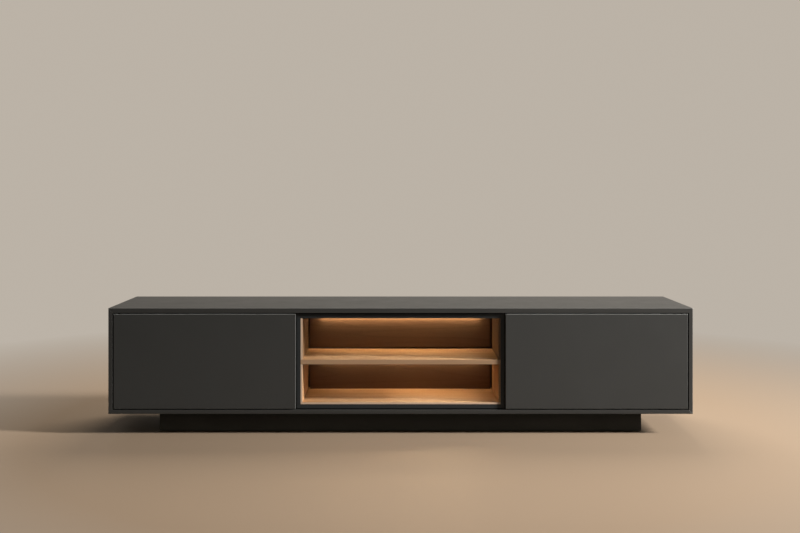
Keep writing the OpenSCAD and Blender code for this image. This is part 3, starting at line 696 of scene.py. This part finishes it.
def make_latch_body(side):
    """A push latch's housing: a square case with two thicker ends and a lip round its bore."""
    low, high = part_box(side + "_latch_housing")
    wide, long, _ = in_mm(low, high)
    half, bore = wide / 2, LATCH_BORE
    waist, end, bottom = half - 0.7, 14, long - 20
    outline = [(0, bottom, ROUND), (bore, bottom, ROUND), (bore, 0.5, ROUND), (bore + 0.5, 0, ROUND),
               (bore + 1.7, 0, ROUND), (bore + 2.0, 0.8, ROUND),
               (half - 1.0, 0.8, 7), (half - 0.25, 1.2, 8), (half, 2.0, 8), (half, end, 8),
               (waist, end + 0.6, 8), (waist, long - end - 0.6, 8),
               (half, long - end, 8), (half, long - 1.5, 8), (half - 0.4, long - 0.5, 8),
               (half - 1.4, long, 7), (0, long, ROUND)]
    shape = lofted([(radius, radius, at, power) for radius, at, power in outline], steps=40)
    piece(side + "_latch_body", "carcass", "black_plastic", [side + "_latch_housing"],
          [(shape, facing((0, 1, 0), middle(low, high, y=low.y)))])


SEAT_DEPTH = 0.2 * MM  # how deep the heads are let into the housing
SCREW_PLACE = 8 * MM  # from each end of the housing


def make_latch_screws(side):
    """The two pan-head screws that hold a latch's housing."""
    low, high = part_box(side + "_latch_housing")
    out = -1 if side == "left" else 1
    seat = (high.x if out > 0 else low.x) - out * SEAT_DEPTH
    outline = [(0, -3), (1.7, -3), (1.7, 0), (2.9, 0), (3.1, 0.25), (2.9, 0.6), (2.3, 0.85)]
    parts = []
    for y in (low.y + SCREW_PLACE, high.y - SCREW_PLACE):
        shape = screw(outline, rim_radius=2.0, top=0.95, arm=1.25, deep=0.8)
        parts.append((shape, facing((out, 0, 0), middle(low, high, x=seat, y=y))))
    piece(side + "_latch_screws", "carcass", "steel", [], parts)


def make_plunger(side):
    """A latch's plunger with a rounded nose and a shallow groove behind it."""
    low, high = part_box(side + "_latch_plunger")
    wide, long, _ = in_mm(low, high)
    radius = wide / 2
    groove = radius - 0.4
    shape = turned([(0, 0), (radius - 1.4, 0), (radius - 0.5, 0.4), (radius - 0.1, 1.2), (radius, 2.0),
                    (groove, 2.3), (groove, 2.8), (radius, 3.1), (radius, long - 0.6),
                    (radius - 0.6, long), (0, long)])
    piece(side + "_latch_pin", side + "_plunger", "plunger_plastic", [side + "_latch_plunger"],
          [(shape, facing((0, 1, 0), middle(low, high, y=low.y)))])


def make_strike_disc(side):
    """A thin steel disc on the door, held by a screw in its middle."""
    low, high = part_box(side + "_strike_plate")
    wide, thick, _ = in_mm(low, high)
    radius = wide / 2
    outline = [(0, 0), (radius - 0.2, 0), (radius, thick * 0.25), (radius, thick * 0.75),
               (radius - 0.3, thick), (3.3, thick), (3.1, thick - 0.3), (2.9, thick - 0.1)]
    shape = screw(outline, rim_radius=2.6, top=thick, arm=1.5, deep=thick * 0.8)
    piece(side + "_strike_disc", side + "_door", "steel", [side + "_strike_plate"],
          [(shape, facing((0, 1, 0), middle(low, high, y=low.y)))])


def make_bumpers():
    """Domed rubber bumpers behind the doors."""
    parts = []
    for low, high in solids("door_bumpers"):
        wide, thick, _ = in_mm(low, high)
        radius = wide / 2
        outline = [(0, 0), (radius - 0.1, 0), (radius, 0.3), (radius - 0.15, thick * 0.5),
                   (radius * 0.84, thick * 0.77), (radius * 0.58, thick * 0.94), (radius * 0.3, thick),
                   (0, thick)]
        shape = turned(outline, steps=28)
        parts.append((shape, facing((0, -1, 0), middle(low, high, y=high.y))))
    piece("door_bumper_set", "carcass", "bumper_rubber", ["door_bumpers"], parts)


def make_grommets():
    """Cable outlets: a sleeve through the back, and a rounded flange with a groove round its face."""
    parts = []
    for low, high in solids("cable_grommets"):
        wide, long, _ = in_mm(low, high)
        flange = wide / 2
        bore, sleeve, lip = flange - 8, flange - 5, long - 2
        outline = [(bore + 0.4, 0), (sleeve - 0.4, 0), (sleeve, 0.4), (sleeve, lip), (flange, lip),
                   (flange, lip + 0.9), (flange - 0.4, lip + 1.6), (flange - 1.4, lip + 2),
                   (flange - 2.2, lip + 2), (flange - 2.5, lip + 1.7), (flange - 3.3, lip + 1.7),
                   (flange - 3.6, lip + 2), (bore + 1.2, lip + 2), (bore + 0.3, lip + 1.6),
                   (bore, lip + 0.8), (bore, 0.5)]
        shape = turned(outline, steps=72, closed=True)
        parts.append((shape, facing((0, 1, 0), middle(low, high, y=low.y))))
    piece("cable_grommet_pair", "carcass", "black_plastic", ["cable_grommets"], parts)


def make_glides():
    """Floor glides with a recess in the face that stands on the floor."""
    parts = []
    for low, high in solids("floor_glides"):
        wide, _, tall = in_mm(low, high)
        radius, recess = wide / 2, tall - 1.2
        outline = [(0, 0), (radius - 0.5, 0), (radius, 0.4), (radius, tall * 0.6),
                   (radius - 0.5, tall * 0.9), (radius - 1.5, tall), (3.6, tall), (3.0, recess),
                   (0, recess)]
        parts.append((turned(outline, steps=40), facing((0, 0, -1), middle(low, high, z=high.z))))
    piece("floor_glide_set", "carcass", "black_plastic", ["floor_glides"], parts)


def make_end_caps():
    """Caps on the ends of the light profiles."""
    parts = []
    for low, high in solids("led_end_caps"):
        parts.append((eased_block(low, high, radius=0.35 * MM), Matrix.Identity(4)))
    piece("led_end_cap_set", "carcass", "black_plastic", ["led_end_caps"], parts)


DRIVER_LENGTH = 160  # the length that the places of the driver's grooves are given for
GROOVES, FIRST_GROOVE, GROOVE_PITCH = 7, 38, 14


def make_driver():
    """The LED driver's case: a mains inlet at one end, and grooves across its middle."""
    low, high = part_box("led_driver")
    long, wide, tall = in_mm(low, high)

    def case(inset, at, power=10):
        return (wide / 2 - inset, tall / 2 - inset, at, power)

    sections = [(0, 0, -12, ROUND), (7, 4.5, -12, 9), (7, 4.5, -0.6, 9), (7.6, 5.1, 0, 9),
                case(1.6, 0, 9), case(0.5, -0.5), case(0, -1.6)]
    for k in range(GROOVES):
        at = -(FIRST_GROOVE + GROOVE_PITCH * k) * long / DRIVER_LENGTH
        sections += [case(0, at), case(0.9, at - 1), case(0.9, at - 5), case(0, at - 6)]
    sections += [case(0, 1.6 - long), case(0.5, 0.5 - long), case(1.6, -long, 9), (0, 0, -long, ROUND)]
    piece("led_driver_case", "carcass", "black_plastic", ["led_driver"],
          [(lofted(sections, steps=48), facing((1, 0, 0), middle(low, high, x=high.x)))])


make_back_screws()
make_niche_screws()
make_plinth_screws()
make_shelf_pins()
for hand in ("left", "right"):
    make_pivot_pins(hand)
    make_latch_body(hand)
    make_latch_screws(hand)
    make_plunger(hand)
    make_strike_disc(hand)
make_bumpers()
make_grommets()
make_glides()
make_end_caps()
make_driver()

# Studio
BACKDROP = (0.50, 0.448, 0.385)
FLOOR_DARK, FLOOR_PALE = (0.285, 0.214, 0.152), (0.303, 0.228, 0.162)
FLOOR_RADIUS, FLOOR_SIDES = 30, 64
FADE_BEGINS, FADE_FULL = 1.4, 3.2  # how far out the floor turns into the backdrop
FLOOR_BOUNCE = 0.1  # share of the floor's colour that soft light sees
AMBIENT = 0.36  # share of the room's level that lights the object softly
ROOM_FRONT, ROOM_LEFT = 0.5, 0.45  # the room's level in front and at the left
# over which y and x of a direction the room's level rises to 1
FRONT_TO_BACK, LEFT_TO_RIGHT = (-0.6, 0.8), (-0.45, 0.35)


def room_level(g, toward):
    """Share of the backdrop's brightness in a direction: lower in front and at the left."""
    parts = g.xyz(toward)
    depth = g.remap(parts[1], *FRONT_TO_BACK, ROOM_FRONT, 1.0)
    side = g.remap(parts[0], *LEFT_TO_RIGHT, ROOM_LEFT, 1.0)
    return g.times(depth, side)


def backdrop_strength(g, toward):
    """1 for the camera, the room's level for gloss, and a low share of it for everything else."""
    rays = g.node("ShaderNodeLightPath").outputs
    mirrored = g.math("MAXIMUM", rays["Is Glossy Ray"], rays["Is Transmission Ray"])
    share = g.math("MAXIMUM", mirrored, AMBIENT)
    return g.math("MAXIMUM", g.times(share, room_level(g, toward)), rays["Is Camera Ray"])


def floor_material():
    """A pale matt floor that turns into the backdrop further out."""
    material, g = new_material("studio_floor")
    at = g.place()
    far = g.remap(g.vector_math("LENGTH", at, (0, 0, 0), out=1), FADE_BEGINS, FADE_FULL, 0.0, 1.0)
    grain = g.noise(at, scale=220, detail=3, roughness=0.6)
    face = g.mix(g.vary(grain, 0, 1), rgba(FLOOR_DARK), rgba(FLOOR_PALE))
    # the camera and gloss see the pale floor, soft light bounces off it as off a darker one
    rays = g.node("ShaderNodeLightPath").outputs
    seen = g.math("MAXIMUM", rays["Is Camera Ray"], rays["Is Glossy Ray"])
    face = g.mix(g.remap(seen, 0, 1, 1.0 - FLOOR_BOUNCE, 0.0), face, (0, 0, 0, 1))
    lit = g.node("ShaderNodeBsdfPrincipled", {
        "Base Color": face, "Roughness": g.vary(grain, 0.55, 0.65),
        "Normal": g.bump(grain, distance=0.0002)})
    toward = g.vector_math("NORMALIZE", at, (0, 0, 0))
    fade = g.node("ShaderNodeEmission", {
        "Color": rgba(BACKDROP), "Strength": backdrop_strength(g, toward)})
    both = g.node("ShaderNodeMixShader", {0: far, 1: lit.outputs[0], 2: fade.outputs[0]})
    g.node("ShaderNodeOutputMaterial", {"Surface": both.outputs[0]})
    return material


def make_floor():
    mesh = bpy.data.meshes.new("studio_floor")
    turns = [t * math.tau / FLOOR_SIDES for t in range(FLOOR_SIDES)]
    rim = [(FLOOR_RADIUS * math.cos(turn), FLOOR_RADIUS * math.sin(turn), 0) for turn in turns]
    mesh.from_pydata(rim, [], [list(range(FLOOR_SIDES))])
    mesh.materials.append(floor_material())
    floor = bpy.data.objects.new("studio_floor", mesh)
    bpy.context.scene.collection.objects.link(floor)


def make_world():
    world = bpy.data.worlds.new("studio")
    bpy.context.scene.world = world
    world.use_nodes = True
    g = Graph(world.node_tree)
    toward = g.node("ShaderNodeTexCoord").outputs["Generated"]
    back = g.node("ShaderNodeBackground", {
        "Color": rgba(BACKDROP), "Strength": backdrop_strength(g, toward)})
    g.node("ShaderNodeOutputWorld", {"Surface": back.outputs[0]})


def area_light(name, place, aim, size, power, colour, spread=180, mirrored=True):
    """A rectangular lamp that the camera doesn't see."""
    light = bpy.data.lights.new(name, "AREA")
    light.shape = "RECTANGLE"
    light.size, light.size_y = size
    light.energy = power
    light.color = colour
    light.spread = math.radians(spread)
    lamp = bpy.data.objects.new(name, light)
    lamp.location = place
    lamp.rotation_mode = "QUATERNION"
    lamp.rotation_quaternion = (Vector(aim) - Vector(place)).to_track_quat("-Z", "Y")
    lamp.visible_camera = False
    lamp.visible_glossy = mirrored
    bpy.context.scene.collection.objects.link(lamp)


TAPE_WIDTH = 9 * MM
TAPE_SPREAD = 125
BELOW_LENS = 0.5 * MM
AIM_LEFT, AIM_DOWN = 0.025, 0.1


def tape_light(name, power, lean):
    """The light of one LED strip, which its lens sends down, leaning forwards and a little left."""
    low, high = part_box(name)
    spot = (0, (low.y + high.y) / 2, low.z - BELOW_LENS)
    aim = (-AIM_LEFT, spot[1] - lean, spot[2] - AIM_DOWN)
    size = (high.x - low.x, TAPE_WIDTH)
    area_light(name + "_light", spot, aim, size, power, GLOW, spread=TAPE_SPREAD)


SENSOR, LENS = 36.0, 45.25
EYE = (-0.022, -3.994, 0.921)
SHIFT_X, SHIFT_Y = 0.0066, -0.095
NEAREST, FURTHEST = 0.05, 100


def make_camera():
    data = bpy.data.cameras.new("photo_view")
    data.sensor_fit = "HORIZONTAL"
    data.sensor_width, data.lens = SENSOR, LENS
    data.shift_x, data.shift_y = SHIFT_X, SHIFT_Y
    data.clip_start, data.clip_end = NEAREST, FURTHEST
    camera = bpy.data.objects.new("photo_view", data)
    camera.location = EYE
    camera.rotation_euler = (math.pi / 2, 0, 0)
    bpy.context.scene.collection.objects.link(camera)
    bpy.context.scene.camera = camera


make_floor()
make_world()
area_light("key", place=(6.0, -1.45, 2.8), aim=(0.0, -0.1, 0.3), size=(0.6, 1.1), power=178,
           colour=(1.0, 0.95, 0.89), spread=75)
area_light("back_fill", place=(0.35, 2.4, 3.1), aim=(0.0, -0.4, 0.2), size=(2.4, 2.4), power=155,
           colour=(1.0, 0.93, 0.84), mirrored=False)
tape_light("led_diffuser_top", power=0.1, lean=0.045)
tape_light("led_diffuser_shelf", power=0.42, lean=0.08)
make_camera()
bpy.context.scene.view_settings.view_transform = "Standard"
